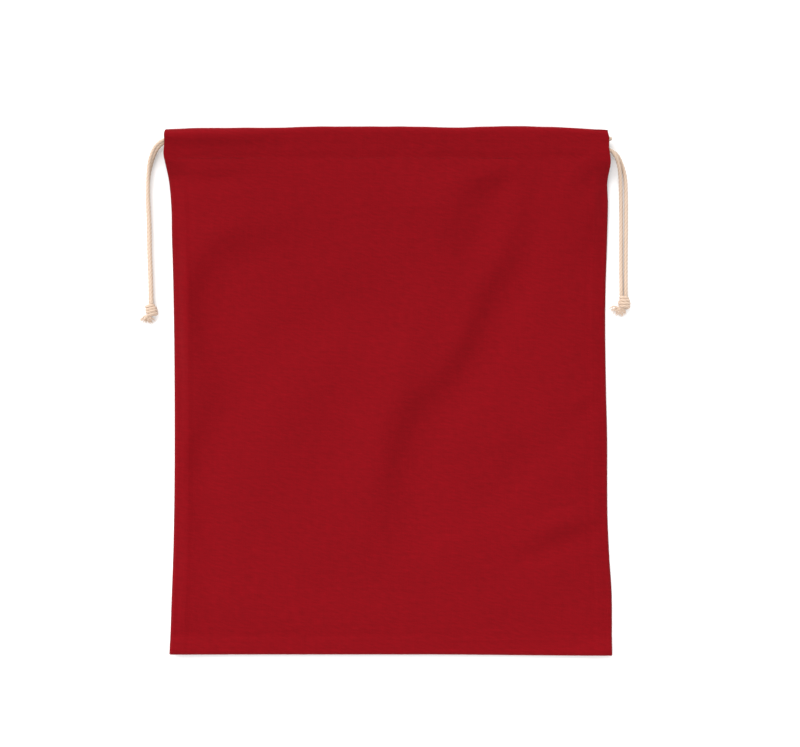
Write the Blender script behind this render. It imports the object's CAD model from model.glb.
"""Builds a cotton gift sack with a drawcord at each side, lying flat on a pale floor."""

import math

import bpy
import numpy as np
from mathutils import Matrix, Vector


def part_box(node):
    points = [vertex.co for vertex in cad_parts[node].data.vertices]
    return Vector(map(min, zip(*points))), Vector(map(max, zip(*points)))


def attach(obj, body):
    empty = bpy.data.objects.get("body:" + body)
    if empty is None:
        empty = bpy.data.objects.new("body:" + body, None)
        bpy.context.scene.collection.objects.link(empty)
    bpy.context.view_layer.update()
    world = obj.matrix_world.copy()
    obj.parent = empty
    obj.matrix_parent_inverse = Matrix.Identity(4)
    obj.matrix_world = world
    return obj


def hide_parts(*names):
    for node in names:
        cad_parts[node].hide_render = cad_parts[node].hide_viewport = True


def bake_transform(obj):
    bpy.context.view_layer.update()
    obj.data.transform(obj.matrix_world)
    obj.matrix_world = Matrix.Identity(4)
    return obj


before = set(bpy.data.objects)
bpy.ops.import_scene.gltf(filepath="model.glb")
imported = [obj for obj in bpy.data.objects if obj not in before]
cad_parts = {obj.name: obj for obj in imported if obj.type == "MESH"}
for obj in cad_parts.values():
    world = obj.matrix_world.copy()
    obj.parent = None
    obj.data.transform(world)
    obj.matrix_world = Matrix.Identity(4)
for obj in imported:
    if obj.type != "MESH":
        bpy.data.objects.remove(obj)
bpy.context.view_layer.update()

bl_info = {
    "name": "Cotton Gift Sack",
    "version": (1, 0, 0),
    "blender": (4, 5, 0),
    "location": "3D View > Sidebar > Gift Sack",
    "description": "Builds a cotton gift sack with a drawcord at each side",
    "category": "Object",
}

MM = 0.001
SIDES = {"left": -1, "right": 1}


# ------------------------------------------------------------------ sizes from the frame


def axis_range(node, axis):
    """Lowest and highest place of a node along an axis."""
    low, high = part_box(node)
    return low[axis], high[axis]


BOTTOM_Y, TOP_Y = axis_range("back_panel", 1)
CASING_HEIGHT = axis_range("back_panel", 2)[1]
SACK_THICKNESS = axis_range("front_panel", 2)[1]
HALF_WIDTH = axis_range("back_panel", 0)[1]
STITCH_Y = sum(axis_range("front_casing_thread", 1)) / 2 + 0.6 * MM
SLIT_Y = axis_range("right_slit_bar_tack", 1)[1]
CHANNEL_END_X = axis_range("left_cord_loop", 0)[0]
CORD_LOW_Y, CORD_HIGH_Y = axis_range("left_cord_loop", 1)
# The frame's cords are eight-sided, and this is the distance of a flat for a radius of 1.
EIGHT_SIDED = math.cos(math.pi / 8)
CORD_RADIUS = (CORD_HIGH_Y - CORD_LOW_Y) / 2 / EIGHT_SIDED
LOOP_LOW, LOOP_HIGH = axis_range("left_cord_loop", 2)
BACK_CORD_Z = LOOP_LOW + CORD_RADIUS * EIGHT_SIDED
FRONT_CORD_Z = LOOP_HIGH - CORD_RADIUS * EIGHT_SIDED
CORD_LINE_Y = {side: sum(axis_range(f"{side}_cord_loop", 1)) / 2 for side in SIDES}


# ------------------------------------------------------------------ what a user may change


class SackClothSettings(bpy.types.PropertyGroup):
    thickness: bpy.props.FloatProperty(
        name="Cloth Thickness", description="Thickness of the cotton",
        default=0.45 * MM, unit="LENGTH", precision=5,
    )
    column_step: bpy.props.FloatProperty(
        name="Column Step", description="Grid step across a panel",
        default=1.5 * MM, unit="LENGTH", precision=5,
    )
    row_step: bpy.props.FloatProperty(
        name="Row Step", description="Grid step along a panel",
        default=1.5 * MM, unit="LENGTH", precision=5,
    )
    belly: bpy.props.FloatProperty(
        name="Belly", description="Height of the front panel in its middle",
        default=5.6 * MM, unit="LENGTH", precision=5,
    )
    thread_pitch: bpy.props.FloatProperty(
        name="Thread Pitch", description="Distance between woven threads",
        default=0.46 * MM, unit="LENGTH", precision=5,
    )
    color: bpy.props.FloatVectorProperty(
        name="Cloth Colour", description="Dyed cotton",
        default=(0.179, 0.00155, 0.0046), subtype="COLOR", size=3,
    )
    inside_color: bpy.props.FloatVectorProperty(
        name="Inside Colour", description="Wrong side of the cotton",
        default=(0.156, 0.0029, 0.0056), subtype="COLOR", size=3,
    )
    thread_color: bpy.props.FloatVectorProperty(
        name="Thread Colour", description="Sewing thread",
        default=(0.172, 0.0030, 0.0060), subtype="COLOR", size=3,
    )


class SackCordSettings(bpy.types.PropertyGroup):
    plies: bpy.props.IntProperty(
        name="Plies", description="Strands twisted into the cord", default=4, min=2
    )
    lay_length: bpy.props.FloatProperty(
        name="Lay Length", description="Length of one full twist",
        default=9.5 * MM, unit="LENGTH", precision=5,
    )
    color: bpy.props.FloatVectorProperty(
        name="Cord Colour", description="Natural cotton",
        default=(0.565, 0.438, 0.344), subtype="COLOR", size=3,
    )
    fibers: bpy.props.IntProperty(
        name="Fibres", description="Frayed fibres below each knot", default=110, min=1
    )


class SackStageSettings(bpy.types.PropertyGroup):
    lens: bpy.props.FloatProperty(
        name="Lens", description="Focal length", default=110.0, subtype="DISTANCE_CAMERA"
    )
    view_width: bpy.props.FloatProperty(
        name="View Width", description="Width of the view at the table",
        default=0.4572, unit="LENGTH",
    )
    view_offset: bpy.props.FloatVectorProperty(
        name="View Offset", description="Middle of the view", subtype="TRANSLATION", size=2,
        default=(0.0069, 0.0100),
    )
    sky: bpy.props.FloatProperty(
        name="Sky", description="Strength of the light from all round", default=1.10
    )
    key: bpy.props.FloatProperty(name="Key", description="Strength of the main soft light", default=3.0)
    fill: bpy.props.FloatProperty(
        name="Fill", description="Light from the foot of the sack", default=1.5, unit="POWER"
    )


# ------------------------------------------------------------------ helpers


def deselect_all():
    if bpy.context.mode != "OBJECT":
        bpy.ops.object.mode_set(mode="OBJECT")
    bpy.ops.object.select_all(action="DESELECT")


def activate(piece):
    deselect_all()
    piece.select_set(True)
    bpy.context.view_layer.objects.active = piece


def smoothstep(value, low, high):
    t = np.clip((value - low) / (high - low), 0.0, 1.0)
    return t * t * (3 - 2 * t)


def between(first, last, low, high, at):
    """Places on the line from first, at low, to last, at high."""
    return (high - at) / (high - low) * first + (at - low) / (high - low) * last


def run_along(path):
    """Distance along a path at each of its points."""
    return np.concatenate([[0], np.cumsum(np.linalg.norm(np.diff(path, axis=0), axis=1))])


SPAN_POINTS = 24  # fine points between two given points of a smooth path


def smooth_path(points, step):
    """Evenly spaced points on a centripetal Catmull-Rom curve through the given ones."""
    p = np.asarray(points, float)
    p = np.vstack([2 * p[0] - p[1], p, 2 * p[-1] - p[-2]])
    fine = []
    for k in range(1, len(p) - 2):
        span = p[k - 1 : k + 3]
        t = [0.0]
        for start, end in zip(span, span[1:]):
            t.append(t[-1] + max(np.linalg.norm(end - start), 1e-9) ** 0.5)
        at = np.linspace(t[1], t[2], SPAN_POINTS, endpoint=False)[:, None]
        lines = [between(span[m], span[m + 1], t[m], t[m + 1], at) for m in range(3)]
        arcs = [between(lines[m], lines[m + 1], t[m], t[m + 2], at) for m in range(2)]
        fine.append(between(arcs[0], arcs[1], t[1], t[2], at))
    fine = np.vstack(fine + [p[-2:-1]])
    run = run_along(fine)
    count = max(2, int(round(run[-1] / step)) + 1)
    at = np.linspace(0, run[-1], count)
    return np.column_stack([np.interp(at, run, fine[:, axis]) for axis in range(fine.shape[1])])


def moving_frames(path):
    """Two unit vectors square to the path at each point, which turn as little as they can."""
    tangent = np.gradient(path, axis=0)
    tangent /= np.linalg.norm(tangent, axis=1)[:, None]
    start = np.array([0.0, 0.0, 1.0]) if abs(tangent[0][2]) < 0.9 else np.array([0.0, 1.0, 0.0])
    normals = []
    normal = start
    for t in tangent:
        normal = normal - t * np.dot(normal, t)
        normal = normal / np.linalg.norm(normal)
        normals.append(normal)
    normals = np.array(normals)
    return normals, np.cross(tangent, normals)


def mesh_piece(name, points, faces, loop_uv, groove=None):
    """A new mesh object from corners and faces, in place, with how deep in a groove each
    corner lies."""
    mesh = bpy.data.meshes.new(name)
    mesh.from_pydata([tuple(p) for p in points], [], faces)
    mesh.uv_layers.new(name="cloth").data.foreach_set("uv", np.asarray(loop_uv, float).ravel())
    if groove is not None:
        attribute = mesh.attributes.new("groove", "FLOAT", "POINT")
        attribute.data.foreach_set("value", np.asarray(groove, np.float32))
    mesh.update()
    piece = bpy.data.objects.new(name, mesh)
    bpy.context.scene.collection.objects.link(piece)
    return piece


def corners_of(mesh):
    """The places of a mesh's corners, as rows of x, y and z."""
    places = np.empty(len(mesh.vertices) * 3)
    mesh.vertices.foreach_get("co", places)
    return places.reshape(-1, 3)


def cloth_grid(name, columns, rows):
    """A new grid of so many columns and rows, with the column and row of each corner."""
    deselect_all()
    bpy.ops.mesh.primitive_grid_add(x_subdivisions=columns - 1, y_subdivisions=rows - 1, size=1.0)
    piece = bpy.context.object
    piece.name = name
    piece.data.name = name
    corner = corners_of(piece.data) + 0.5
    column = np.rint(corner[:, 0] * (columns - 1)).astype(int)
    row = np.rint(corner[:, 1] * (rows - 1)).astype(int)
    return piece, column, row


def lay_cloth(piece, places, flat):
    """Puts a grid's corners in place. The cloth's own weave follows its flat pattern."""
    mesh = piece.data
    mesh.vertices.foreach_set("co", np.column_stack(places).ravel())
    loops = np.empty(len(mesh.loops), int)
    mesh.loops.foreach_get("vertex_index", loops)
    mesh.uv_layers[0].name = "cloth"
    mesh.uv_layers[0].data.foreach_set("uv", np.column_stack(flat)[loops].ravel())
    mesh.update()


def turned_out(piece):
    """Turns all of a piece's faces outwards."""
    activate(piece)
    bpy.ops.object.mode_set(mode="EDIT")
    bpy.ops.mesh.select_all(action="SELECT")
    bpy.ops.mesh.normals_make_consistent(inside=False)
    bpy.ops.object.mode_set(mode="OBJECT")


def join_pieces(pieces, name):
    activate(pieces[0])
    for piece in pieces[1:]:
        piece.select_set(True)
    if len(pieces) > 1:
        bpy.ops.object.join()
    joined = bpy.context.view_layer.objects.active
    joined.name = name
    joined.data.name = name
    return joined


def apply_modifier(piece, kind, **values):
    activate(piece)
    bpy.ops.object.modifier_add(type=kind)
    modifier = piece.modifiers[-1]
    for key, value in values.items():
        setattr(modifier, key, value)
    bpy.ops.object.modifier_apply(modifier=modifier.name)


def smooth(piece, angle=40.0):
    activate(piece)
    bpy.ops.object.shade_smooth_by_angle(angle=math.radians(angle))


def dress(piece, slot):
    """Gives a piece the record's slot that it stands for, and its material."""
    piece.data.materials.clear()
    piece.data.materials.append(finish_for(slot))


def take_place(piece, node, side=None):
    """Puts a piece in a node's place, to follow one side of the mouth or only the sack."""
    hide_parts(node)
    if side:
        gather(piece, side)
    else:
        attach(piece, "sack")


def gather(piece, side):
    """The piece follows the sack where it is still, and the mouth's corner at that side."""
    sign = SIDES[side]
    foot = np.array([sign * HALF_WIDTH, BOTTOM_Y])
    crease = np.array([0.0, TOP_Y]) - foot
    crease = crease / np.linalg.norm(crease)
    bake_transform(piece)


# ------------------------------------------------------------------ materials


class Nodes:
    """Short hand for laying out a material's nodes."""

    def __init__(self, name):
        self.material = bpy.data.materials.new(name)
        self.material.use_nodes = True
        self.tree = self.material.node_tree
        self.shader = self.tree.nodes["Principled BSDF"]

    def node(self, kind, values=None, **links):
        made = self.tree.nodes.new(kind)
        for key, value in (values or {}).items():
            if key in made.inputs:
                made.inputs[key].default_value = value
            else:
                setattr(made, key, value)
        for key, socket in links.items():
            self.link(socket, made.inputs[key])
        return made

    def math(self, operation, first, second=None, third=None):
        made = self.node("ShaderNodeMath", {"operation": operation})
        for index, value in enumerate((first, second, third)):
            if isinstance(value, (int, float)):
                made.inputs[index].default_value = value
            elif value is not None:
                self.link(value, made.inputs[index])
        return made.outputs[0]

    def link(self, source, target):
        self.tree.links.new(source, target)

    def cloth_point(self):
        """Where a point lies on the flat cloth, or along and round a cord."""
        return self.node("ShaderNodeUVMap", {"uv_map": "cloth"}).outputs[0]

    def object_point(self):
        return self.node("ShaderNodeTexCoord").outputs["Object"]

    def noise(self, vector, scale, stretch=(1.0, 1.0, 1.0), turn=0.0, detail=2.0, roughness=0.5):
        """Noise around 0.5. It is turned about Z, and then stretch says how many grains
        a metre holds each way."""
        grain = tuple(1 / value for value in stretch)
        turned = {"vector_type": "TEXTURE", "Scale": grain, "Rotation": (0.0, 0.0, turn)}
        mapping = self.node("ShaderNodeMapping", turned, Vector=vector)
        values = {"Scale": scale, "Detail": detail, "Roughness": roughness}
        return self.node("ShaderNodeTexNoise", values, Vector=mapping.outputs[0]).outputs[0]

    def vary(self, tone, value, amount, middle=0.5):
        """A tone made lighter where a value is over its middle, and darker where under."""
        return self.math("MULTIPLY_ADD", self.math("SUBTRACT", value, middle), amount, tone)

    def shade_by(self, color, factor):
        """Makes the surface's colour the given one times a factor that varies over it."""
        mix = self.node("ShaderNodeVectorMath", {"operation": "SCALE"})
        if isinstance(color, tuple):
            mix.inputs[0].default_value = color
        else:
            self.link(color, mix.inputs[0])
        self.link(factor, mix.inputs["Scale"])
        self.link(mix.outputs[0], self.shader.inputs["Base Color"])

    def bump(self, height, strength, distance):
        made = self.node("ShaderNodeBump", {"Strength": strength, "Distance": distance}, Height=height)
        self.link(made.outputs[0], self.shader.inputs["Normal"])

    def finish(self, **values):
        """Sets the shader's even values and hands over the material."""
        for key, value in values.items():
            self.shader.inputs[key.replace("_", " ")].default_value = value
        return self.material


YARN_DRIFT = 1.6 * MM  # how far a yarn wanders from its line
SLUB_LEAN = math.radians(-17.0)  # the way the thick places line up
STITCH_TWIST = 0.8 * MM  # one turn of the sewing thread's plies


def weave_material(name, color, pitch):
    """Plain-weave cotton: warp over weft and weft over warp, uneven yarns, a soft bloom."""
    n = Nodes(name)
    uv = n.cloth_point()
    wobble = n.noise(uv, 90.0, detail=1.0)
    drift = n.math("MULTIPLY", n.math("SUBTRACT", wobble, 0.5), YARN_DRIFT)
    parts = n.node("ShaderNodeSeparateXYZ", Vector=uv)
    across = n.math("DIVIDE", n.math("ADD", parts.outputs[0], drift), pitch)
    along = n.math("DIVIDE", n.math("ADD", parts.outputs[1], drift), pitch)
    warp = n.math("ABSOLUTE", n.math("SINE", n.math("MULTIPLY", across, math.pi)))
    weft = n.math("ABSOLUTE", n.math("SINE", n.math("MULTIPLY", along, math.pi)))
    cell = n.math("ADD", n.math("FLOOR", across), n.math("FLOOR", along))
    over = n.node("ShaderNodeMix", {"data_type": "FLOAT"})
    n.link(n.math("FLOORED_MODULO", cell, 2.0), over.inputs["Factor"])
    for socket, upper, lower in (("A", warp, weft), ("B", weft, warp)):
        rounded = n.math("MULTIPLY", upper, n.math("ADD", n.math("MULTIPLY", lower, 0.5), 0.5))
        n.link(rounded, over.inputs[socket])
    height = over.outputs[0]

    weft_yarn = n.noise(uv, 1.0, stretch=(45.0, 1400.0, 1.0))
    warp_yarn = n.noise(uv, 1.0, stretch=(1300.0, 60.0, 1.0))
    slub = n.noise(uv, 1.0, stretch=(190.0, 950.0, 1.0), turn=SLUB_LEAN, detail=1.0)
    cloud = n.noise(uv, 14.0, detail=3.0)
    tone = n.vary(1.0, weft_yarn, 0.22)
    tone = n.vary(tone, warp_yarn, 0.14)
    tone = n.vary(tone, slub, 0.34)
    tone = n.vary(tone, cloud, 0.08)
    n.shade_by(color, n.vary(tone, height, 0.42, middle=0.55))

    fuzz = n.noise(uv, 5200.0)
    relief = n.math("MULTIPLY_ADD", fuzz, 0.35, height)
    n.bump(n.math("MULTIPLY_ADD", slub, 0.8, relief), 0.55, 0.12 * MM)
    n.link(n.math("MULTIPLY_ADD", fuzz, 0.16, 0.80), n.shader.inputs["Roughness"])
    return n.finish(
        Specular_IOR_Level=0.07, Sheen_Weight=0.05, Sheen_Roughness=0.45, Sheen_Tint=(0.9, 0.2, 0.2, 1.0)
    )


def thread_material(name, color):
    """Twisted sewing thread: fine slanting plies."""
    n = Nodes(name)
    parts = n.node("ShaderNodeSeparateXYZ", Vector=n.cloth_point())
    lean = n.math("MULTIPLY", parts.outputs[0], 4 * math.pi)
    twist = n.math("MULTIPLY_ADD", parts.outputs[1], 2 * math.pi / STITCH_TWIST, lean)
    ply = n.math("MULTIPLY_ADD", n.math("SINE", twist), 0.5, 0.5)
    n.shade_by(color, n.math("MULTIPLY_ADD", ply, 0.4, 0.8))
    n.bump(ply, 0.5, 0.05 * MM)
    return n.finish(Roughness=0.7, Specular_IOR_Level=0.1)


def cord_material(name, color):
    """Twisted natural cotton: fine fibres along the plies, darker in the grooves."""
    n = Nodes(name)
    uv = n.cloth_point()
    groove = n.node("ShaderNodeAttribute", {"attribute_name": "groove"}).outputs["Fac"]
    fiber = n.noise(uv, 1.0, stretch=(26.0, 900.0, 1.0), detail=3.0, roughness=0.6)
    cloud = n.noise(uv, 1.0, stretch=(2.0, 60.0, 1.0))
    fleck = n.noise(n.object_point(), 2600.0)
    tone = n.vary(1.0, fiber, 0.36)
    tone = n.vary(tone, cloud, 0.16)
    tone = n.vary(tone, fleck, 0.14)
    warm = n.node("ShaderNodeMix", {"data_type": "RGBA"})
    n.link(groove, warm.inputs["Factor"])
    warm.inputs[6].default_value = (*color, 1.0)
    warm.inputs[7].default_value = (0.74 * color[0], 0.60 * color[1], 0.48 * color[2], 1.0)
    n.shade_by(warm.outputs[2], tone)
    n.bump(n.math("MULTIPLY_ADD", fleck, 0.6, fiber), 0.5, 0.10 * MM)
    return n.finish(Roughness=0.86, Specular_IOR_Level=0.3, Sheen_Weight=0.25, Sheen_Roughness=0.5)


def floor_material():
    """Plain pale floor with the faintest grain."""
    n = Nodes("pale_floor")
    grain = n.noise(n.object_point(), 40.0)
    n.shade_by((0.93, 0.93, 0.93), n.vary(1.0, grain, 0.01))
    return n.finish(Roughness=0.9, Specular_IOR_Level=0.0)


MATERIALS = {}


def finish_for(slot):
    """The material of a slot, made the first time it is asked for."""
    if slot in MATERIALS:
        return MATERIALS[slot]
    cloth, cord = bpy.context.scene.sack_cloth, bpy.context.scene.sack_cord
    pitch = cloth.thread_pitch
    paler = tuple(1.08 * c for c in cord.color)
    makers = {
        "cotton": lambda: weave_material("red_cotton", tuple(cloth.color), pitch),
        "cotton_inside": lambda: weave_material("red_cotton_inside", tuple(cloth.inside_color), pitch),
        "thread": lambda: thread_material("red_thread", tuple(cloth.thread_color)),
        "cord": lambda: cord_material("cream_cord", tuple(cord.color)),
        "frayed_cord": lambda: cord_material("frayed_cream_cord", paler),
    }
    MATERIALS[slot] = makers[slot]()
    return MATERIALS[slot]


# ------------------------------------------------------------------ the stage


SENSOR_WIDTH = 36.0
FLOOR_WIDTH = 6.0
KEY_PLACE = Vector((-0.42, 0.73, 0.55))
KEY_SPREAD = math.radians(60.0)
FILL_PLACE = Vector((0.05, -0.75, 0.35))
FILL_WIDTH = 0.5


class SACK_OT_stage(bpy.types.Operator):
    """Camera above the sack, soft light from behind its mouth, and a pale floor"""

    bl_idname = "sack.stage"
    bl_label = "Stage"

    def execute(self, context):
        settings = context.scene.sack_stage
        context.scene.view_settings.view_transform = "Standard"
        self.make_camera(settings)
        self.make_sky(settings.sky)
        self.make_light("SUN", "key_light", KEY_PLACE, settings.key).angle = KEY_SPREAD
        fill = self.make_light("AREA", "fill_light", FILL_PLACE, settings.fill)
        fill.shape = "DISK"
        fill.size = FILL_WIDTH
        self.make_floor()
        return {"FINISHED"}

    def make_camera(self, settings):
        deselect_all()
        distance = settings.view_width * settings.lens / SENSOR_WIDTH
        x, y = settings.view_offset
        bpy.ops.object.camera_add(location=(x, y, distance), rotation=(0.0, 0.0, 0.0))
        camera = bpy.context.object
        camera.name = "camera_above"
        camera.data.lens = settings.lens
        camera.data.sensor_width = SENSOR_WIDTH
        camera.data.clip_end = 50.0
        bpy.context.scene.camera = camera

    def make_sky(self, strength):
        world = bpy.data.worlds.new("soft_sky")
        world.use_nodes = True
        background = world.node_tree.nodes["Background"]
        background.inputs["Color"].default_value = (1.0, 1.0, 1.0, 1.0)
        background.inputs["Strength"].default_value = strength
        bpy.context.scene.world = world

    def make_light(self, kind, name, place, energy):
        """A light at a place, turned to the middle of the sack."""
        bpy.ops.object.light_add(type=kind, location=place)
        light = bpy.context.object
        light.name = name
        light.rotation_euler = (-place).to_track_quat("-Z", "Y").to_euler()
        light.data.energy = energy
        return light.data

    def make_floor(self):
        deselect_all()
        bpy.ops.mesh.primitive_plane_add(size=FLOOR_WIDTH, location=(0.0, 0.0, 0.0))
        floor = bpy.context.object
        floor.name = "floor"
        floor.data.transform(floor.matrix_world)
        floor.matrix_world.identity()
        floor.data.materials.append(floor_material())


# ------------------------------------------------------------------ drawcords

# Free strands, from the channel's end to the knot: how far out past the channel's end,
# how far down from the cord's line in the casing, and how high above lying on the floor.
STRANDS = {
    ("left", "front"): [
        (7, 1.2, 8.6), (11.6, 4.6, 6.6), (14.9, 11.6, 4), (16.1, 20, 2.6), (16.2, 32, 2.4),
        (15.4, 48, 2.3), (15.1, 64, 2.3), (14.5, 80, 2.3), (14.2, 93.4, 2.2),
    ],
    ("left", "back"): [
        (7, 1.6, 1.4), (11.3, 5.6, 0.6), (14.4, 13, 0), (16.1, 21, 0), (16.7, 32, 0),
        (16.2, 48, 0), (15.9, 64, 0), (15.3, 80, 0), (15.1, 93.4, 0.1),
    ],
    ("right", "front"): [
        (6, 1, 8.8), (9, 4.4, 7.4), (11, 9.6, 4.6), (12, 15.6, 1.6), (12.4, 24, 0.3),
        (12.6, 38, 0), (12.6, 54, 0), (12.6, 68, 0), (12.7, 82.9, 0.8),
    ],
    ("right", "back"): [
        (6.4, 0.4, 1.5), (10.4, 3.2, 0.8), (13.2, 8.8, 0), (14.9, 15.6, 0), (15.4, 24, 0),
        (15.5, 38, 0), (15.4, 54, 0), (15.3, 68, 0), (15.3, 82.9, 0.6),
    ],
}
CHANNEL_Z = {"front": FRONT_CORD_Z, "back": BACK_CORD_Z}
RESTING_Z = 1.08 * CORD_RADIUS  # middle of a strand that rests on the floor
STRAND_STEP = 0.5 * MM
LOOP_STEP = 0.55 * MM


def strand_path(side, layer):
    """A free strand's way, from the end of its channel to its knot."""
    sign = SIDES[side]
    line_y = CORD_LINE_Y[side]
    start_x = abs(CHANNEL_END_X)
    points = [(sign * start_x, line_y, CHANNEL_Z[layer])]
    for out, down, height in STRANDS[(side, layer)]:
        points.append((sign * (start_x + out * MM), line_y - down * MM, RESTING_Z + height * MM))
    return smooth_path(points, STRAND_STEP)


# A twisted cord's section: its radius in the grooves and the rise of each ply, as shares
# of the cord's radius, and how round the plies are.
GROOVE_RADIUS, PLY_RISE, PLY_ROUNDNESS = 0.84, 0.20, 0.7
CORD_MAP_SCALE = 40.0  # the cloth map's length for a metre of cord


def tube_faces(base, rows, around):
    """Faces of a tube whose rings of corners follow each other from a first corner."""
    for k in range(rows - 1):
        for j in range(around):
            row, i = base + k * around, (j + 1) % around
            yield k, j, (row + j, row + i, row + around + i, row + around + j)


def cord_tube(name, path, radius, around=20, taper=None):
    """A twisted cord along a path: a closed tube whose section has one lobe for each ply."""
    settings = bpy.context.scene.sack_cord
    first, second = moving_frames(path)
    run = run_along(path)
    angle = np.linspace(0, 2 * math.pi, around, endpoint=False)
    twist = 2 * math.pi * run[:, None] / settings.lay_length
    lobe = np.abs(np.cos(settings.plies / 2 * (angle[None, :] - twist)))
    bulge = radius * (GROOVE_RADIUS + PLY_RISE * lobe**PLY_ROUNDNESS)
    if taper is not None:
        bulge = bulge * taper[:, None]
    ring = (
        path[:, None, :]
        + first[:, None, :] * (np.cos(angle)[None, :] * bulge)[..., None]
        + second[:, None, :] * (np.sin(angle)[None, :] * bulge)[..., None]
    )
    points = ring.reshape(-1, 3)
    faces, uvs = [], []
    rows = len(path)
    for k, j, face in tube_faces(0, rows, around):
        faces.append(face)
        start, end = (twist[m][0] / 2 / math.pi for m in (k, k + 1))
        ply = [j / around - start, (j + 1) / around - start]
        next_ply = [value - (end - start) for value in ply]
        uvs += [(run[k], ply[0]), (run[k], ply[1])]
        uvs += [(run[k + 1], next_ply[1]), (run[k + 1], next_ply[0])]
    for end, order in ((0, -1), (rows - 1, 1)):
        centre = len(points)
        points = np.vstack([points, path[end]])
        for j in range(around):
            i = (j + 1) % around
            corner = (end * around + j, end * around + i)
            faces.append((centre, *corner) if order > 0 else (centre, corner[1], corner[0]))
            uvs += [(run[end], 0.5), (run[end], j / around), (run[end], i / around)]
    loop_uv = [(u * CORD_MAP_SCALE, v) for u, v in uvs]
    groove = np.append((1 - lobe.ravel()) ** 2, [0.0, 0.0])
    return mesh_piece(name, points, faces, loop_uv, groove)


def finish_cord(piece, side, slot, node):
    """Smooths and dresses a part of a drawcord, which takes the place of a node of it."""
    smooth(piece)
    dress(piece, slot)
    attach(piece, f"{side}_drawcord")
    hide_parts(node)


def channel_path(side, step):
    """Along the front channel, round the far slit, and back along the back channel."""
    sign = SIDES[side]
    line_y = CORD_LINE_Y[side]
    start_x = sign * abs(CHANNEL_END_X)
    reach = axis_range(f"{side}_cord_loop", 0)[1 if sign < 0 else 0]
    radius = (FRONT_CORD_Z - BACK_CORD_Z) / 2
    turn_x = reach + sign * (radius + CORD_RADIUS)
    middle_z = (FRONT_CORD_Z + BACK_CORD_Z) / 2
    front = [(x, line_y, FRONT_CORD_Z) for x in np.linspace(start_x, turn_x, 12, endpoint=False)]
    bight = [
        (turn_x - sign * radius * math.sin(a), line_y, middle_z + radius * math.cos(a))
        for a in np.linspace(0, math.pi, 13)
    ]
    back = [(x, line_y, BACK_CORD_Z) for x in np.linspace(turn_x, start_x, 13)[1:]]
    return smooth_path(front + bight + back, step)


class SACK_OT_drawcords(bpy.types.Operator):
    """Both drawcords: the loop in the casings and the two free strands of each"""

    bl_idname = "sack.drawcords"
    bl_label = "Drawcords"

    declare = []

    def execute(self, context):
        for side in SIDES:
            loop = cord_tube(f"{side}_drawcord_loop", channel_path(side, LOOP_STEP), CORD_RADIUS)
            turned_out(loop)
            finish_cord(loop, side, "cord", f"{side}_cord_loop")
            for layer in ("front", "back"):
                path = strand_path(side, layer)
                strand = cord_tube(f"{side}_drawcord_{layer}_strand", path, CORD_RADIUS)
                turned_out(strand)
                finish_cord(strand, side, "cord", f"{side}_cord_{layer}_strand")
                tied = [f"{side}_drawcord_knot", f"{side}_drawcord_frayed_ends"]
                self.declare.append((strand, path, tied if layer == "front" else []))
        return {"FINISHED"}


KNOT_STEP = 0.3 * MM
PLY_RADIUS = 0.52 * MM
PLY_RESTING_Z = 0.62 * MM

# Each knot: half its width and height round the core, how far the wraps climb in a turn,
# how many turns there are, where they start, and how the knot leans (mm and degrees).
KNOTS = {
    "left": {"across": 2.4, "deep": 1.7, "climb": 3.0, "turns": 1.5, "start": 60, "lean": 26},
    "right": {"across": 2.5, "deep": 1.75, "climb": 3.2, "turns": 1.55, "start": 30, "lean": 12},
}


def knot_centre(side):
    low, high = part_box(f"{side}_cord_knot")
    return np.array([(low[0] + high[0]) / 2, (low[1] + high[1]) / 2, (low[2] + high[2]) / 2 + 0.1 * MM])


def knot_strand(side, layer):
    """One strand's way through the knot: down its core, round it in the wraps, and down
    the core again to the cut end."""
    shape = KNOTS[side]
    centre = knot_centre(side)
    free = strand_path(side, layer)
    entry = (free[-1] - centre) / MM
    upper = 1 if layer == "front" else -1
    beside = 0.75 * (1 if entry[0] > 0.2 else -1)
    count = int(14 * shape["turns"])
    turned = np.radians(shape["start"]) + np.linspace(0, 2 * math.pi * shape["turns"], count)
    climbed = shape["climb"] * (turned - turned.mean()) / (2 * math.pi)
    height = climbed + 0.80 * upper
    swell = 1.08 - 0.035 * height**2
    across = shape["across"] * swell * np.sin(turned) + 0.22
    wraps = np.column_stack([across, height, -shape["deep"] * swell * np.cos(turned)])
    lean = math.radians(shape["lean"])
    leaned = wraps.copy()
    leaned[:, 0] = wraps[:, 0] * math.cos(lean) - wraps[:, 1] * math.sin(lean)
    leaned[:, 1] = wraps[:, 0] * math.sin(lean) + wraps[:, 1] * math.cos(lean)
    points = [
        entry + np.array([0, 1.4, 0]), entry,
        (beside, 2.2, -0.1), (0.7 * beside, 0.2, -0.3), (0.5 * beside, -1.9, -0.5),
        *leaned, (0.3 * upper, 1.9, 0.3), (0.5 * upper - 0.4, 0.2, 0.3), (0.6 * upper - 0.8, -1.9, 0.1),
        (0.75 * upper - 1.3, -3.3, -0.1), (0.9 * upper - 1.6, -3.9, -0.3),
    ]
    return smooth_path([centre + np.array(p) * MM for p in points], KNOT_STEP)


class SACK_OT_knots(bpy.types.Operator):
    """The overhand knot that ties each drawcord's strands together"""

    bl_idname = "sack.knots"
    bl_label = "Knots"

    def execute(self, context):
        for side in SIDES:
            strands = [
                cord_tube(f"{side}_knot_{layer}", knot_strand(side, layer), 0.90 * CORD_RADIUS, around=16)
                for layer in ("front", "back")
            ]
            for strand in strands:
                turned_out(strand)
            knot = join_pieces(strands, f"{side}_drawcord_knot")
            finish_cord(knot, side, "cord", f"{side}_cord_knot")
        return {"FINISHED"}


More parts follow.
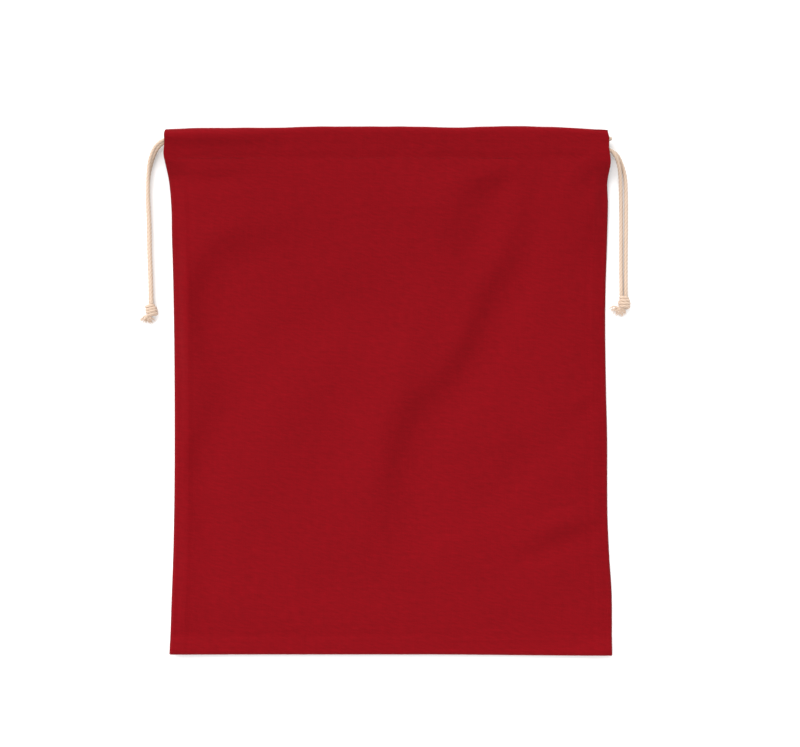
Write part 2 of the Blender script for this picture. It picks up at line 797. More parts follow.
class SACK_OT_frayed_ends(bpy.types.Operator):
    """The cut ends of the strands, opened out into plies and fibres below each knot"""

    bl_idname = "sack.frayed_ends"
    bl_label = "Frayed Ends"

    # Way (degrees) and length (mm) of the first and the last ply of each fan.
    FANS = {"left": ((198, 3.9), (300, 3.4)), "right": ((172, 5.0), (300, 3.4))}
    ORDER = "back back front back front back front back front front back front".split()

    def execute(self, context):
        for side in SIDES:
            random = np.random.default_rng(5 if side == "left" else 8)
            plies, lines = self.plies(side, random)
            fibers = self.fibers(side, lines, random, context.scene.sack_cord.fibers)
            tuft = join_pieces([fibers] + plies, f"{side}_drawcord_frayed_ends")
            finish_cord(tuft, side, "frayed_cord", f"{side}_cord_frayed_ends")
        return {"FINISHED"}

    def plies(self, side, random):
        """Twelve curling plies, six from each strand's cut end, spread like a fan, and the
        lines that they follow."""
        plies, lines = [], []
        (first_way, first_length), (last_way, last_length) = self.FANS[side]
        ends = {layer: knot_strand(side, layer)[-1] for layer in ("front", "back")}
        for k, layer in enumerate(self.ORDER):
            share = (k + random.uniform(-0.3, 0.3)) / (len(self.ORDER) - 1)
            way = math.radians(first_way + (last_way - first_way) * share)
            length = first_length + (last_length - first_length) * share
            length = length * random.uniform(0.8, 1.15) * MM
            ahead = np.array([math.cos(way), math.sin(way), 0.0])
            beside = np.array([-math.sin(way), math.cos(way), 0.0])
            t = np.linspace(0, 1, 7)
            curl = 0.20 * np.sin(2 * math.pi * (0.9 * t + random.uniform(0, 1))) * t
            root = ends[layer] + np.array([0.2, 0.9, 0.1]) * MM
            line = root + np.outer(t * length, ahead) + np.outer(curl * length, beside)
            line[:, 2] += (random.uniform(-0.2, 0.5) * np.sin(math.pi * t) - 0.9 * t**2) * MM
            line[:, 2] = np.maximum(line[:, 2], PLY_RESTING_Z)
            line = smooth_path(line, KNOT_STEP)
            taper = np.linspace(1.0, 0.55, len(line))
            taper[-2:] *= (0.8, 0.45)
            ply = cord_tube(f"{side}_ply_{k}", line, PLY_RADIUS, around=10, taper=taper)
            turned_out(ply)
            plies.append(ply)
            lines.append(line)
        return plies, lines

    def fibers(self, side, lines, random, count):
        """Loose yarns along the outer half of the plies."""
        points, faces, uvs, groove = [], [], [], []
        for k in range(count):
            line = lines[k % len(lines)]
            start = random.integers(len(line) // 2, len(line) - 1)
            ahead = line[start + 1] - line[start]
            ahead = ahead / np.linalg.norm(ahead)
            root = line[start] + random.normal(0, 0.16, 3) * MM
            self.fiber(root, ahead, random, points, faces, uvs, groove)
        return mesh_piece(f"{side}_fibres", points, faces, uvs, groove)

    def fiber(self, root, ahead, random, points, faces, uvs, groove):
        """One loose yarn, thinner towards its tip and settling on the floor."""
        lean = ahead + random.normal(0, 0.45, 3)
        lean = lean / np.linalg.norm(lean)
        bend = random.normal(0, 0.6, 3)
        length = random.uniform(0.9, 2.4) * MM
        thick = random.uniform(0.06, 0.13) * MM
        steps, around = 6, 5
        t = np.linspace(0, 1, steps)[:, None]
        line = root + (lean * t + bend * 0.5 * t * t) * length
        line[:, 2] -= 0.6 * MM * t[:, 0] ** 2
        line[:, 2] = np.maximum(line[:, 2], thick * 0.8)
        first, second = moving_frames(line)
        base = len(points)
        angle = np.linspace(0, 2 * math.pi, around, endpoint=False)
        for k in range(steps):
            radius = thick * (1 - 0.7 * k / (steps - 1))
            for a in angle:
                points.append(line[k] + (first[k] * math.cos(a) + second[k] * math.sin(a)) * radius)
                groove.append(0.35 * (1 - k / (steps - 1)))
        for k, j, face in tube_faces(base, steps, around):
            faces.append(face)
            uvs += [(k, j / around), (k, (j + 1) / around)]
            uvs += [(k + 1, (j + 1) / around), (k + 1, j / around)]
        for start, order in ((base, -1), (base + (steps - 1) * around, 1)):
            ring = [start + j for j in range(around)]
            faces.append(tuple(ring if order > 0 else ring[::-1]))
            uvs += [(0, j / around) for j in range(around)]


# ------------------------------------------------------------------ the panels' surfaces

# How far each side lies from the middle, from the bottom seam to the top fold (mm).
SIDE_OUTLINE = {
    "left": [
        (-150, 124.4), (-120, 123.4), (-92, 122.4), (-50, 121.7), (20, 121.8), (60, 122.4),
        (88, 123.1), (104, 123.3), (118, 124.4), (130, 126.3), (134, 127.1), (142, 126.5),
        (147, 126.5), (150, 125.8),
    ],
    "right": [
        (-150, 127.7), (-115, 127.6), (-95, 126.3), (-70, 125.2), (-25, 125.0), (0, 124.4),
        (45, 123.9), (85, 124.9), (108, 125.3), (118, 124.9), (124, 125.6), (130, 126.4),
        (138, 125.4), (144, 125.3), (150, 124.2),
    ],
}
# How far the top fold lies above or below its even line, from left to right (mm).
TOP_LINE = [
    (-127, -1.5), (-108, -0.8), (-60, -0.5), (-45, 0.0), (0, 0.1), (20, 0.0), (37, -0.5),
    (56, 0.1), (76, 0.3), (92, -0.1), (106, -0.8), (127, -1.9),
]


def eased(table, value):
    """A smooth line through a short list of (place, value) in mm."""
    line = smooth_path([(a, b) for a, b in table], 1.0)
    return np.interp(np.asarray(value) / MM, line[:, 0], line[:, 1]) * MM


def side_x(side, y):
    """Distance of the sack's side from the middle at a height y."""
    return eased(SIDE_OUTLINE[side], np.clip(y, BOTTOM_Y, TOP_Y))


# Soft creases of the front panel: where each runs (mm), how steep it is at its start,
# middle and end, and how wide it is there (mm). A positive one falls to the right of its
# way, and a negative one to the left.
CREASES = [
    ([(76, 138), (77, 104), (70, 76), (57, 52), (46, 24), (33, 5), (16, -12), (8, -36), (4, -78)],
     (-0.30, -0.50, -0.36), (10, 9, 12)),
    ([(50, 88), (38, 52), (26, 26), (8, -4), (0, -34), (-4, -76)], (-0.14, -0.26, -0.20), (12, 12, 13)),
    ([(46, 128), (46, 104), (42, 78)], (-0.20, -0.22, -0.14), (15, 16, 12)),
    ([(72, 131), (60, 122), (46, 112)], (-0.30, -0.32, -0.20), (6, 8, 8)),
    ([(-62, 90), (-94, 80), (-106, 62), (-106, 40), (-100, 12), (-100, -14), (-114, -40)],
     (-0.26, -0.50, -0.40), (9, 11, 8)),
    ([(-110, 118), (-112, 60), (-112, -20), (-110, -124)], (-0.26, -0.26, -0.40), (8, 8, 8)),
    ([(125, -73), (108, -78), (95, -82), (72, -93)], (-0.34, -0.40, -0.28), (5, 6, 6)),
    ([(117, -20), (87, -45), (58, -70), (18, -88)], (0.12, 0.13, 0.10), (9, 10, 11)),
    ([(-78, -60), (-74, -20), (-60, 10), (-33, 28), (-6, 32)], (-0.08, -0.12, -0.08), (12, 13, 12)),
    ([(125, -1), (114, -6), (102, -15)], (-0.16, -0.16, -0.06), (4, 4, 5)),
    ([(-124, 128), (-110, 125), (-94, 126), (-70, 130)], (0.40, 0.42, 0.26), (4, 5, 6)),
    ([(122, 128), (115, 114), (108, 98), (106, 78)], (0.32, 0.24, 0.12), (6, 7, 8)),
    ([(-62, 60), (-36, 76), (-10, 90)], (-0.05, -0.08, -0.05), (11, 12, 11)),
    ([(16, -143), (70, -143), (124, -143)], (0.14, 0.24, 0.30), (4, 4, 4)),
    ([(-122, 110), (-118, 92), (-116, 74)], (-0.10, -0.08, -0.06), (4, 5, 6)),
    ([(-110, -60), (-104, -86), (-86, -108), (-60, -116)], (-0.08, -0.10, -0.06), (7, 8, 9)),
    ([(-92, -112), (-20, -122), (60, -120)], (-0.07, -0.08, -0.07), (12, 13, 12)),
]


def crease_height(x, y):
    """Sum of the soft creases: a dark slope with a gentle rise to each side of it."""
    total = np.zeros_like(x)
    for points, slopes, widths in CREASES:
        line = smooth_path([(px, py) for px, py in points], 2.0) * MM
        ahead = np.gradient(line, axis=0)
        ahead = ahead / np.linalg.norm(ahead, axis=1)[:, None]
        share = np.linspace(0, 1, len(line))
        width = np.interp(share, [0, 0.5, 1], widths) * MM
        steep = np.interp(share, [0, 0.5, 1], slopes)
        reach = 4 * max(widths) * MM
        near = (
            (x > line[:, 0].min() - reach) & (x < line[:, 0].max() + reach)
            & (y > line[:, 1].min() - reach) & (y < line[:, 1].max() + reach)
        )
        px, py = x[near], y[near]
        gap = (px[:, None] - line[None, :, 0]) ** 2 + (py[:, None] - line[None, :, 1]) ** 2
        closest = gap.argmin(axis=1)
        dx, dy = px - line[closest, 0], py - line[closest, 1]
        right = dx * ahead[closest, 1] - dy * ahead[closest, 0]
        past = dx * ahead[closest, 0] + dy * ahead[closest, 1]
        w = width[closest]
        fade = np.sin(np.pi * np.clip(0.08 + 0.84 * share[closest], 0, 1)) ** 0.8
        fade = fade * np.exp(-0.5 * (past / w) ** 2)
        total[near] += -steep[closest] * right * np.exp(-0.5 * (right / w) ** 2) * fade
    return total


WAVES = [
    # direction in degrees, wavelength and height in mm, phase
    (12, 96, 0.22, 0.4), (78, 71, 0.18, 2.1), (143, 53, 0.12, 4.0), (40, 38, 0.06, 1.3),
    (112, 29, 0.045, 5.2), (165, 22, 0.03, 3.3),
]


def wave_height(x, y):
    """Broad, low waves all over the panel."""
    total = np.zeros_like(x)
    for turn, length, height, phase in WAVES:
        a = math.radians(turn)
        way = x * math.cos(a) + y * math.sin(a)
        total += height * MM * np.sin(2 * math.pi * way / (length * MM) + phase)
    return total


def pucker(along, wavelength, seed):
    """Uneven little gathers along a seam, around 0."""
    random = np.random.default_rng(seed)
    total = np.zeros_like(along)
    for k in range(5):
        length = wavelength * random.uniform(0.6, 1.7)
        total += np.sin(2 * math.pi * along / length + random.uniform(0, 6.28)) / 5
    return total


def bell(gap, width):
    """1 at no gap, and falling away to both sides over a width."""
    return np.exp(-((gap / width) ** 2))


CLOTH_MIDDLE = 0.25  # mm, middle of a cloth above what it lies on
TURNING = 1.8 * MM  # cloth past the casing's stitches, inside
SEAM_Z = 0.62 * MM  # middle of the front cloth where it is sewn to the back
EDGE_RISE = 1.6 * MM  # over which the front cloth turns up from its seams
EDGE_LIFT = 1.35 * MM  # and how far it turns up
EDGE_ROLL = 40 * MM  # how far in the belly reaches its height, from a side
MOUTH_ROLL = 20 * MM  # the same beside the slits
BOTTOM_ROLL = 55 * MM  # and from the bottom
ALLOWANCE_LOW, ALLOWANCE_HIGH = axis_range("bottom_seam_allowance", 1)
ALLOWANCE_WIDTH = ALLOWANCE_HIGH - ALLOWANCE_LOW
ALLOWANCE_EDGE = ALLOWANCE_HIGH - BOTTOM_Y


def seam_distances(x, y):
    """How far a point is in from the nearest side, and up from the bottom seam."""
    side = np.where(x < 0, side_x("left", y) + x, side_x("right", y) - x)
    return np.maximum(side, 0), np.maximum(y - BOTTOM_Y, 0)


def seam_lift(x, y):
    """How far the sewn edges stand off the floor: a slight curl along the bottom, and
    under the thick mouth at the sides."""
    side, bottom = seam_distances(x, y)
    corner = bell(side, 26 * MM)
    curl = (1.6 + 1.2 * corner) * MM * (1 - smoothstep(bottom, 0.5 * MM, 12 * MM))
    at_mouth = smoothstep(y, 62 * MM, SLIT_Y) * (1 - smoothstep(y, SLIT_Y, STITCH_Y))
    return curl + 2.3 * MM * at_mouth * bell(side, 12 * MM)


def set_askew(piece):
    """The bottom seam lies a little askew, lower towards the right."""
    corner = corners_of(piece.data)
    near = 1 - smoothstep(corner[:, 1] - BOTTOM_Y, 0, 140 * MM)
    corner[:, 1] -= near * (0.1 + 0.6 * smoothstep(corner[:, 0], 20 * MM, 110 * MM)) * MM
    piece.data.vertices.foreach_set("co", corner.ravel())
    piece.data.update()


def quarter_round(share):
    """From 0 to 1 along a quarter of a circle."""
    return np.sqrt(1 - (1 - np.clip(share, 0, 1)) ** 2)


def front_height(x, y):
    """Middle of the front panel's cloth, from the bottom seam to the casing's stitches."""
    belly = bpy.context.scene.sack_cloth.belly
    stitch_z = casing_profile("front")[0][1] * MM
    mouth_y = STITCH_Y - 1.0 * MM
    side, bottom = seam_distances(x, y)
    along_slit = np.clip((y - SLIT_Y) / (mouth_y - SLIT_Y), 0, 1)
    opened = 0.5 * (smoothstep(y, SLIT_Y - 3 * MM, mouth_y) + along_slit)
    seam_z = SEAM_Z + seam_lift(x, y)
    edge = seam_z + (stitch_z - seam_z) * opened
    crown = belly + (stitch_z - belly) * smoothstep(y, 0.3 * TOP_Y, mouth_y)
    lift = EDGE_LIFT * (1 - opened)
    side_roll = EDGE_ROLL - (EDGE_ROLL - MOUTH_ROLL) * smoothstep(y, 70 * MM, SLIT_Y)
    from_side = np.sin(np.pi / 2 * np.clip(side / side_roll, 0, 1))
    roll = from_side * np.sin(np.pi / 2 * np.clip(bottom / BOTTOM_ROLL, 0, 1))
    height = edge + lift * quarter_round(side / EDGE_RISE) * quarter_round(bottom / EDGE_RISE)
    height += (crown - edge - lift) * roll
    detail = surface_detail(x, y, side, bottom, mouth_y)
    room = np.maximum(0.75 * (height - edge), 0.15 * MM)
    detail = np.where(detail < 0, -room * np.tanh(-detail / room), detail)
    return height + detail


def surface_detail(x, y, side, bottom, mouth_y):
    """Creases, the print of the seam allowances, and the seams' little gathers."""
    from_casing = np.maximum(mouth_y - y, 0)
    clear = smoothstep(np.minimum(side, bottom), 0.5 * MM, 9 * MM)
    calm = clear * (0.25 + 0.75 * smoothstep(from_casing, 0, 16 * MM))
    detail = (crease_height(x, y) + wave_height(x, y)) * calm
    below_slit = smoothstep(SLIT_Y - y, 0, 4 * MM)
    for gap, other, share in ((side, bottom, 1.6 * below_slit), (bottom, side, 1.8)):
        inner = smoothstep(gap, ALLOWANCE_EDGE - 0.9 * MM, ALLOWANCE_EDGE + 0.3 * MM)
        step = smoothstep(gap, 0, 1.5 * MM) * (1 - inner)
        dip = bell(gap - ALLOWANCE_EDGE - 0.5 * MM, 0.55 * MM)
        groove = bell(gap - 3.0 * MM, 0.5 * MM)
        detail += (0.24 * step - 0.12 * dip - 0.16 * groove) * MM * share * smoothstep(other, 0, 4 * MM)
    for height, along, wavelength, seed, gap, reach, start in (
        (0.10, y, 9, 3, side, 3.0, 1.2),
        (0.10, x, 10, 4, bottom, 3.0, 1.2),
        (0.22, x, 11, 5, from_casing, 4.5, 1.5),
    ):
        gathers = height * MM * pucker(along, wavelength * MM, seed) * np.exp(-gap / (reach * MM))
        detail += gathers * smoothstep(gap, 0, start * MM)
    return detail


# ------------------------------------------------------------------ panels


def casing_profile(layer):
    """(y, z) in mm of a panel's cloth from the row of stitches, over the top fold, to the
    turned-in edge. The front casing is full, and the back one lies flat on the floor."""
    top, stitch = TOP_Y / MM, STITCH_Y / MM
    if layer == "back":
        outer, inner = CLOTH_MIDDLE, CASING_HEIGHT / MM - CLOTH_MIDDLE
        return [
            (stitch, outer + 0.6), (stitch + 1.2, outer + 0.4), (stitch + 2.6, outer + 0.15),
            (stitch + 4.2, outer), (stitch + 8.0, outer), (top - 5.5, outer),
            (top - 2.8, outer + 0.05), (top - 1.1, outer + 0.7), (top - 0.3, (inner + outer) / 2),
            (top - 0.75, inner - 1.0), (top - 2.0, inner - 0.25), (top - 5.0, inner),
            (stitch + 6.0, inner), (stitch + 2.0, inner - 0.65), (stitch, inner - 1.95),
            (stitch - TURNING / MM, inner - 2.05),
        ]
    outer = SACK_THICKNESS / MM - CLOTH_MIDDLE
    inner = SACK_THICKNESS / MM - CASING_HEIGHT / MM + CLOTH_MIDDLE
    return [
        (stitch, inner + 2.3), (stitch + 1.2, inner + 2.5), (stitch + 2.6, inner + 2.85),
        (stitch + 4.2, inner + 3.15), (stitch + 8.0, inner + 3.65), (top - 5.5, outer + 0.4),
        (top - 2.8, outer + 0.75), (top - 1.1, outer + 0.15), (top - 0.3, (inner + outer) / 2),
        (top - 0.75, inner + 1.0), (top - 2.0, inner + 0.25), (top - 5.0, inner),
        (stitch + 6.0, inner), (stitch + 2.0, inner + 0.35), (stitch, inner + 1.0),
        (stitch - TURNING / MM, inner + 0.95),
    ]


def casing_outer_z(layer, y):
    """Middle of a casing's outer cloth at a height y."""
    line = smooth_path(casing_profile(layer), 0.4) * MM
    outer = line[: line[:, 0].argmax()]
    return np.interp(y, outer[:, 0], outer[:, 1])


def row_stations(layer, body_step):
    """Rows of a panel: y, the casing's z or nothing, how far the cloth has turned in, and
    its distance along the cloth from the bottom seam."""
    edge = [0, 0.25, 0.5, 0.8, 1.2, 1.8, 2.6, 3.6, 4.8]
    body = [BOTTOM_Y + step * MM for step in edge]
    count = int(round((STITCH_Y - body[-1]) / body_step))
    body += list(np.linspace(body[-1], STITCH_Y, count + 1)[1:-1])
    casing = smooth_path(casing_profile(layer), 0.65) * MM
    apex = casing[:, 0].argmax()
    y = np.concatenate([body, casing[:, 0]])
    z = np.concatenate([np.full(len(body), np.nan), casing[:, 1]])
    turned = np.concatenate([np.zeros(len(body)), smoothstep(np.arange(len(casing)), apex - 3, apex + 9)])
    along = np.concatenate([np.array(body) - BOTTOM_Y, STITCH_Y - BOTTOM_Y + run_along(casing)])
    return y, z, turned, along


def column_stations(step):
    """Columns of half a panel, 0 in the middle and 1 at the side, closer near the side."""
    edge = [0, 0.2, 0.45, 0.75, 1.1, 1.6, 2.3, 3.2, 4.4]
    outer = [1 - inset * MM / HALF_WIDTH for inset in edge][::-1]
    count = int(round(outer[0] * HALF_WIDTH / step))
    return np.concatenate([np.linspace(0, outer[0], count + 1)[:-1], outer])


SET_BACK = 5.5 * MM  # how far the turned-in cloth ends short of the side


def casing_detail(x, y, z, turned, layer):
    """Gathers at the stitches, the left cord pressing through, and an uneven top fold. The
    back casing lies flat on the floor."""
    outer = (1 - smoothstep(turned, 0.0, 0.4)) * (1 if layer == "front" else 0)
    near_stitch = bell(y - STITCH_Y - 2.2 * MM, 3.2 * MM)
    z = z + outer * 0.30 * MM * near_stitch * pucker(x, 11 * MM, 5)
    ridge = 0.10 * MM + 1.70 * MM * smoothstep(-x, 50 * MM, 96 * MM)
    z = z + outer * ridge * bell(y - CORD_LINE_Y["left"] - 0.8 * MM, 4.0 * MM)
    above = smoothstep(y, STITCH_Y + 2 * MM, STITCH_Y + 6 * MM)
    z = z + outer * 0.16 * MM * pucker(x, 34 * MM, 6) * above
    lift = smoothstep(y, TOP_Y - 8 * MM, TOP_Y)
    y = y + lift * (eased(TOP_LINE, x) + 0.12 * MM * pucker(x, 24 * MM, 7))
    return y, z


def half_panel(name, layer, side, column_step, row_step, thickness):
    """Half of a panel with its casing, as one sheet of cloth with a thickness."""
    rows_y, rows_z, rows_turned, rows_along = row_stations(layer, row_step)
    columns = column_stations(column_step)
    sign = SIDES[side]
    piece, i, j = cloth_grid(name, len(columns), len(rows_y))
    column = columns[i] if sign > 0 else columns[len(columns) - 1 - i]
    y, z, turned = rows_y[j], rows_z[j].copy(), rows_turned[j]
    x = sign * column * (side_x(side, y) - SET_BACK * turned * smoothstep(column, 0.5, 1.0))
    body = np.isnan(z)
    if layer == "front":
        z[body] = front_height(x[body], y[body])
    else:
        z[body] = back_height(x[body], y[body])
    y[~body], z[~body] = casing_detail(x[~body], y[~body], z[~body], turned[~body], layer)
    lay_cloth(piece, (x, y, z), (sign * column * HALF_WIDTH, rows_along[j]))
    apply_modifier(piece, "SOLIDIFY", thickness=thickness, offset=0.0, use_even_offset=True)
    smooth(piece, 50.0)
    return piece, rows_along[-1]


def back_height(x, y):
    """Middle of the back panel's cloth: flat on the floor, turned up a little at its seams."""
    edge = np.minimum(*seam_distances(x, y))
    closed = 1 - smoothstep(y, SLIT_Y - 2 * MM, SLIT_Y + 1 * MM)
    at_stitches = 0.6 * MM * smoothstep(y, STITCH_Y - 4 * MM, STITCH_Y)
    turned_up = 0.14 * MM * closed * (1 - smoothstep(edge, 0, 1.5 * MM))
    return CLOTH_MIDDLE * MM + turned_up + seam_lift(x, y) + at_stitches


BACK_COARSER = 2.4  # the back panel lies flat, so its grid is this much coarser


class SACK_OT_panels(bpy.types.Operator):
    """Front and back panels, each with its casing turned to the inside at the top"""

    bl_idname = "sack.panels"
    bl_label = "Panels"

    def execute(self, context):
        cloth = context.scene.sack_cloth
        for layer, coarser in (("front", 1), ("back", BACK_COARSER)):
            steps = coarser * cloth.column_step, coarser * cloth.row_step
            for side in SIDES:
                name = f"{layer}_panel_{side}_half"
                piece, length = half_panel(name, layer, side, *steps, cloth.thickness)
                dress(piece, "cotton")
                set_askew(piece)
                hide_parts(f"{layer}_panel")
                gather(piece, side)
        return {"FINISHED"}


# ------------------------------------------------------------------ seams, hems and stitches


RAGGED = 0.12 * MM  # unevenness of a cut edge
ALLOWANCE_SUNK = 0.1 * MM
ALLOWANCE_WAVE = 0.06 * MM
ALLOWANCE_SLACK = 0.15 * MM  # an allowance is this much thinner than its solid
HEM_THICKNESS = 0.26 * MM
HEM_GAP = 0.24 * MM  # from the casing's middle to the hem's face
HEM_INSET = 0.2 * MM


def strip(name, place, columns, rows, thickness):
    """A strip of cloth: a grid laid along place(column, row), given its thickness."""
    piece, i, j = cloth_grid(name, len(columns), len(rows))
    column, row = columns[i], rows[j]
    lay_cloth(piece, place(column, row), (column, row))
    turned_out(piece)
    apply_modifier(piece, "SOLIDIFY", thickness=thickness, offset=0.0)
    smooth(piece)
    return piece


class SACK_OT_allowances(bpy.types.Operator):
    """Seam allowances inside the sack, and the hems in the four channel ends"""

    bl_idname = "sack.allowances"
    bl_label = "Seam Allowances and Hems"

    def execute(self, context):
        for side in SIDES:
            self.side_allowance(side)
            for layer in ("back", "front"):
                self.channel_hem(side, layer)
        self.bottom_allowance()
        return {"FINISHED"}

    def side_allowance(self, side):
        sign = SIDES[side]
        low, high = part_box(f"{side}_seam_allowance")
        insets = np.linspace(ALLOWANCE_EDGE - ALLOWANCE_WIDTH, ALLOWANCE_EDGE, 7)
        rows = np.linspace(low[1], high[1], 170)
        middle = (low[2] + high[2]) / 2

        def place(inset, y):
            share = (inset - insets[0]) / ALLOWANCE_WIDTH
            ragged = RAGGED * pucker(y, 2.1 * MM, 13) * smoothstep(share, 0.7, 1.0)
            x = sign * (side_x(side, y) - inset - ragged)
            height = middle - ALLOWANCE_SUNK + ALLOWANCE_WAVE * share * pucker(y, 13 * MM, 12)
            return x, y, height + seam_lift(x, y)

        piece = strip(f"{side}_side_allowance", place, insets, rows, high[2] - low[2] - ALLOWANCE_SLACK)
        dress(piece, "cotton_inside")
        set_askew(piece)
        take_place(piece, f"{side}_seam_allowance", side)

    def bottom_allowance(self):
        low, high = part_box("bottom_seam_allowance")
        columns = np.linspace(low[0], high[0], 160)
        rows = np.linspace(low[1], high[1], 9)
        middle = (low[2] + high[2]) / 2

        def place(x, y):
            share = (y - low[1]) / (high[1] - low[1])
            ragged = RAGGED * pucker(x, 2.3 * MM, 15) * smoothstep(share, 0.7, 1.0)
            height = middle - ALLOWANCE_SUNK + ALLOWANCE_WAVE * share * pucker(x, 12 * MM, 14)
            return x, y + ragged, height + seam_lift(x, y)

        piece = strip("bottom_allowance", place, columns, rows, high[2] - low[2] - ALLOWANCE_SLACK)
        dress(piece, "cotton_inside")
        set_askew(piece)
        take_place(piece, "bottom_seam_allowance")

    def channel_hem(self, side, layer):
        sign = SIDES[side]
        low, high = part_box(f"{side}_{layer}_facing")
        columns = np.linspace(0, 1, 12)
        rows = np.linspace(low[1] - 1.0 * MM, high[1], 22)
        inward = -1 if layer == "front" else 1

        def place(share, y):
            outer = side_x(side, y) - HEM_INSET
            inset = share * (high[0] - low[0])
            height = casing_outer_z(layer, y) + inward * (HEM_GAP + HEM_THICKNESS / 2)
            return sign * (outer - inset), y, height + 0.02 * MM * pucker(y, 5 * MM, 16)

        piece = strip(f"{side}_{layer}_channel_hem", place, columns, rows, HEM_THICKNESS)
        dress(piece, "cotton_inside")
        take_place(piece, f"{side}_{layer}_facing", side)


def stitch_row(name, starts, direction, lift, length, thick):
    """A row of stitches: one rounded stitch is modelled, then copied along the row."""
    deselect_all()
    bpy.ops.mesh.primitive_cylinder_add(vertices=8, radius=thick / 2, depth=length)
    stitch = bpy.context.object
    bpy.ops.object.mode_set(mode="EDIT")
    bpy.ops.mesh.select_all(action="SELECT")
    bpy.ops.mesh.bevel(offset=thick * 0.22, segments=2, affect="EDGES")
    bpy.ops.object.mode_set(mode="OBJECT")
    corner = np.array([v.co for v in stitch.data.vertices])
    faces = [tuple(p.vertices) for p in stitch.data.polygons]
    bpy.data.objects.remove(stitch, do_unlink=True)
    along = np.array(direction, float) / np.linalg.norm(direction)
    up = np.array([0.0, 0.0, 1.0])
    beside = np.cross(along, up)
    share = corner[:, 2] / (length / 2)
    sunk = -lift * share**4
    points, all_faces, uvs = [], [], []
    for start in starts:
        base = len(points)
        placed = (
            np.asarray(start)
            + np.outer(corner[:, 2], along)
            + np.outer(corner[:, 0], beside)
            + np.outer(corner[:, 1] + sunk, up)
        )
        points += [tuple(p) for p in placed]
        for face in faces:
            all_faces.append(tuple(base + v for v in face))
            uvs += [(math.atan2(corner[v][1], corner[v][0]) / 2 / math.pi, corner[v][2]) for v in face]
    piece = mesh_piece(name, points, all_faces, uvs)
    turned_out(piece)
    smooth(piece)
    dress(piece, "thread")
    return piece


STITCH_LENGTH = 2.5 * MM
STITCH_GAP = 0.7 * MM
CASING_STITCH_THICKNESS = 0.34 * MM
CASING_STITCH_SUNK = 0.22 * MM  # how far the ends of a stitch sink into the cloth
SEAM_STITCH_SUNK = 0.1 * MM
SIDE_STITCH_INSET = 1.15 * MM
THREAD_CLEARANCE = 0.02 * MM
TACK_STITCHES = 9
TACK_LENGTH = 1.9 * MM
TACK_THICKNESS = 0.38 * MM
TACK_SUNK = 0.3 * MM
TACK_SLANT = 0.12


def at_seam(x, y, low, high):
    """Places along a seam whose thread lies in a box from low to high."""
    return np.column_stack([x, y, (low[2] + high[2]) / 2 + seam_lift(x, y)])


def stitch_starts(low, high):
    """Middles of the stitches between two places, evenly spread."""
    pitch = STITCH_LENGTH + STITCH_GAP
    count = int((high - low) / pitch)
    edge = ((high - low) - count * pitch) / 2
    return [low + edge + (k + 0.5) * pitch for k in range(count)]


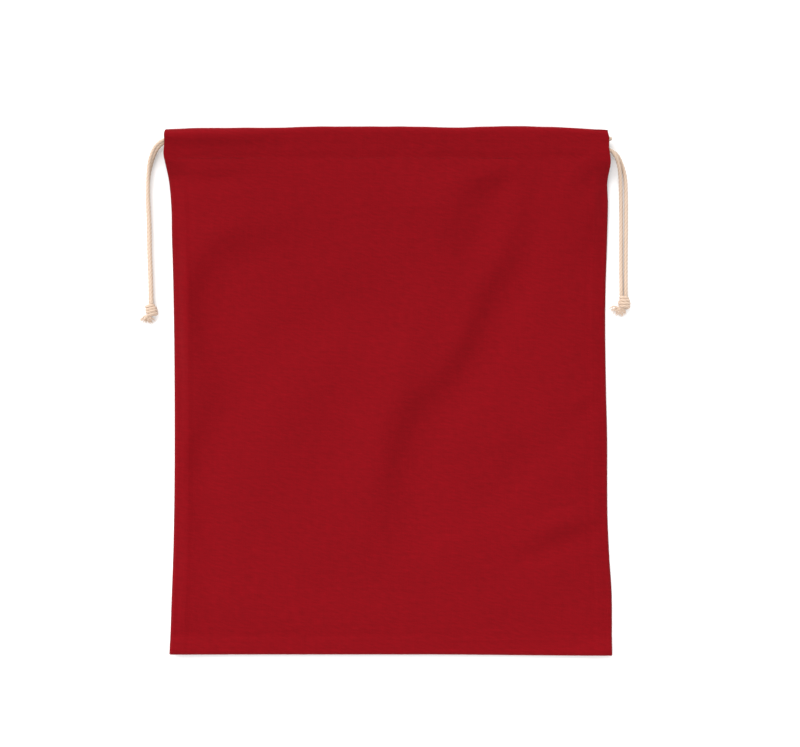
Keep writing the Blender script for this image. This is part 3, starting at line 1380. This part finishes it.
class SACK_OT_stitches(bpy.types.Operator):
    """The rows of stitches of the casings and seams, and the bar tacks of the slits"""

    bl_idname = "sack.stitches"
    bl_label = "Stitches"

    def execute(self, context):
        for side in SIDES:
            for layer in ("front", "back"):
                self.casing_row(side, layer)
            self.side_row(side)
            self.bar_tack(side)
        self.bottom_row()
        return {"FINISHED"}

    def casing_row(self, side, layer):
        sign = SIDES[side]
        reach = axis_range(f"{layer}_casing_thread", 0)[1] + 4 * MM
        middles = np.array(stitch_starts(0.4 * MM, reach)) * sign
        thickness = bpy.context.scene.sack_cloth.thickness
        if layer == "front":
            y = np.full(len(middles), STITCH_Y - 0.35 * MM)
            z = front_height(middles, y) + thickness / 2 + THREAD_CLEARANCE
        else:
            y = np.full(len(middles), STITCH_Y + 0.2 * MM)
            z = casing_outer_z("back", y) - thickness / 2 - THREAD_CLEARANCE
        starts = np.column_stack([middles, y, z])
        name = f"{layer}_casing_stitches_{side}"
        row = stitch_row(name, starts, (1, 0, 0), CASING_STITCH_SUNK, STITCH_LENGTH, CASING_STITCH_THICKNESS)
        take_place(row, f"{layer}_casing_thread", side)

    def side_row(self, side):
        low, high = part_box(f"{side}_seam_thread")
        y = np.array(stitch_starts(low[1], high[1]))
        x = SIDES[side] * (side_x(side, y) - SIDE_STITCH_INSET)
        starts = at_seam(x, y, low, high)
        thick = high[2] - low[2]
        row = stitch_row(f"{side}_side_stitches", starts, (0, 1, 0), SEAM_STITCH_SUNK, STITCH_LENGTH, thick)
        set_askew(row)
        take_place(row, f"{side}_seam_thread", side)

    def bottom_row(self):
        low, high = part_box("bottom_seam_thread")
        x = np.array(stitch_starts(low[0], high[0]))
        y = np.full(len(x), (low[1] + high[1]) / 2)
        starts = at_seam(x, y, low, high)
        thick = high[2] - low[2]
        row = stitch_row("bottom_stitches", starts, (1, 0, 0), SEAM_STITCH_SUNK, STITCH_LENGTH, thick)
        set_askew(row)
        take_place(row, "bottom_seam_thread")

    def bar_tack(self, side):
        low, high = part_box(f"{side}_slit_bar_tack")
        y = np.linspace(low[1] + 0.3 * MM, high[1] - 0.3 * MM, TACK_STITCHES)
        x = np.full(len(y), (low[0] + high[0]) / 2)
        starts = at_seam(x, y, low, high)
        way = (1, TACK_SLANT, 0)
        tack = stitch_row(f"{side}_bar_tack", starts, way, TACK_SUNK, TACK_LENGTH, TACK_THICKNESS)
        take_place(tack, f"{side}_slit_bar_tack", side)


# ------------------------------------------------------------------ the add-on


class SACK_PT_panel(bpy.types.Panel):
    """Lists the sack's operators and settings"""

    bl_idname = "SACK_PT_panel"
    bl_label = "Gift Sack"
    bl_space_type = "VIEW_3D"
    bl_region_type = "UI"
    bl_category = "Gift Sack"

    def draw(self, context):
        for group in (context.scene.sack_cloth, context.scene.sack_cord, context.scene.sack_stage):
            box = self.layout.box()
            for key in group.__annotations__:
                box.prop(group, key)
        for operator in OPERATORS:
            self.layout.operator(operator.bl_idname)


OPERATORS = [
    SACK_OT_stage, SACK_OT_drawcords, SACK_OT_knots, SACK_OT_frayed_ends, SACK_OT_panels,
    SACK_OT_allowances, SACK_OT_stitches,
]
CLASSES = [SackClothSettings, SackCordSettings, SackStageSettings, *OPERATORS, SACK_PT_panel]


def register():
    for kind in CLASSES:
        bpy.utils.register_class(kind)
    bpy.types.Scene.sack_cloth = bpy.props.PointerProperty(type=SackClothSettings)
    bpy.types.Scene.sack_cord = bpy.props.PointerProperty(type=SackCordSettings)
    bpy.types.Scene.sack_stage = bpy.props.PointerProperty(type=SackStageSettings)


def unregister():
    del bpy.types.Scene.sack_cloth, bpy.types.Scene.sack_cord, bpy.types.Scene.sack_stage
    for kind in reversed(CLASSES):
        bpy.utils.unregister_class(kind)


def main():
    register()
    for operator in OPERATORS:
        group, action = operator.bl_idname.split(".")
        getattr(getattr(bpy.ops, group), action)()


if __name__ == "__main__":
    main()
